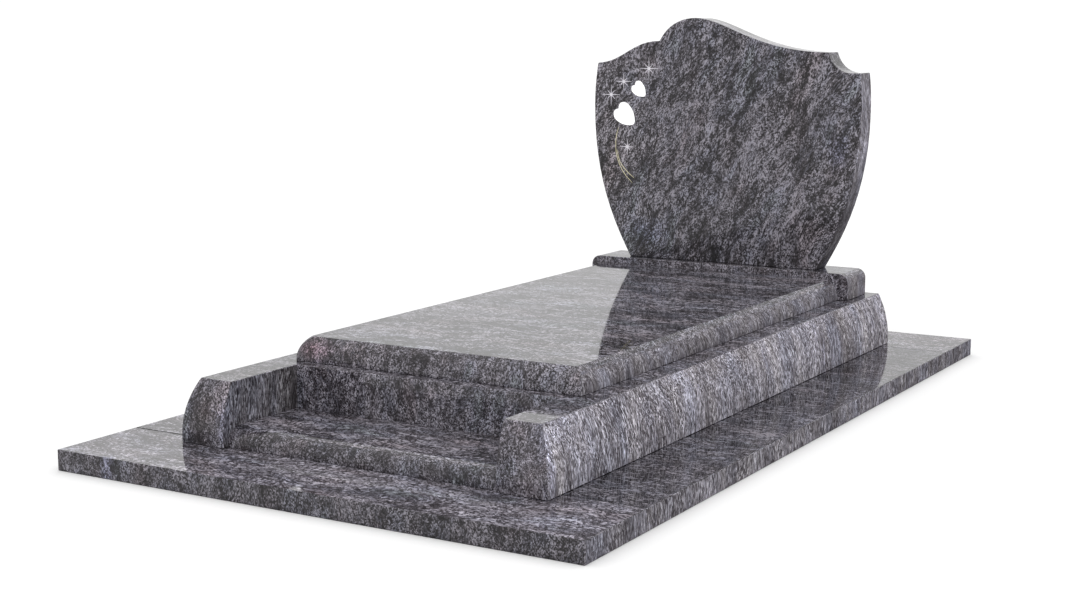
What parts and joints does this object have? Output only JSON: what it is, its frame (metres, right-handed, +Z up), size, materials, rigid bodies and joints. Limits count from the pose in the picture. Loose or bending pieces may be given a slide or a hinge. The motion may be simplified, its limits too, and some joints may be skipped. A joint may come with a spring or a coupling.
{
  "type": "grave monument",
  "caption": "Polished granite grave monument: slab frame, bellied kerbs, low front step, ledger with rounded edges and a curved headstone on a base.",
  "frame": {"origin": "centre of the ground frame's underside", "axes": "+X across the grave to the right seen from the foot, +Y from the foot to the headstone, +Z up"},
  "size_m": [1.4, 2.46, 1.0379],
  "materials": {
    "base_slab_granite": "polished grey-violet granite with fine dark and light flecks",
    "kerb_granite": "polished grey-violet granite with fine dark and light flecks",
    "beam_granite": "polished grey-violet granite",
    "step_granite": "polished grey-violet granite",
    "ledger_granite": "polished grey-violet granite, mirror finish on top",
    "headstone_base_granite": "polished grey-violet granite",
    "headstone_granite": "polished grey-violet granite with white and gilt carved ornament"
  },
  "bodies": {
    "root": {"front_base_slab": "base_slab_granite", "left_base_slab": "base_slab_granite", "right_base_slab": "base_slab_granite", "rear_base_slab": "base_slab_granite", "left_kerb": "kerb_granite", "right_kerb": "kerb_granite", "front_step": "step_granite", "front_beam": "beam_granite", "rear_beam": "beam_granite", "ledger": "ledger_granite", "headstone_base": "headstone_base_granite", "headstone": "headstone_granite"}
  },
  "joints": []
}
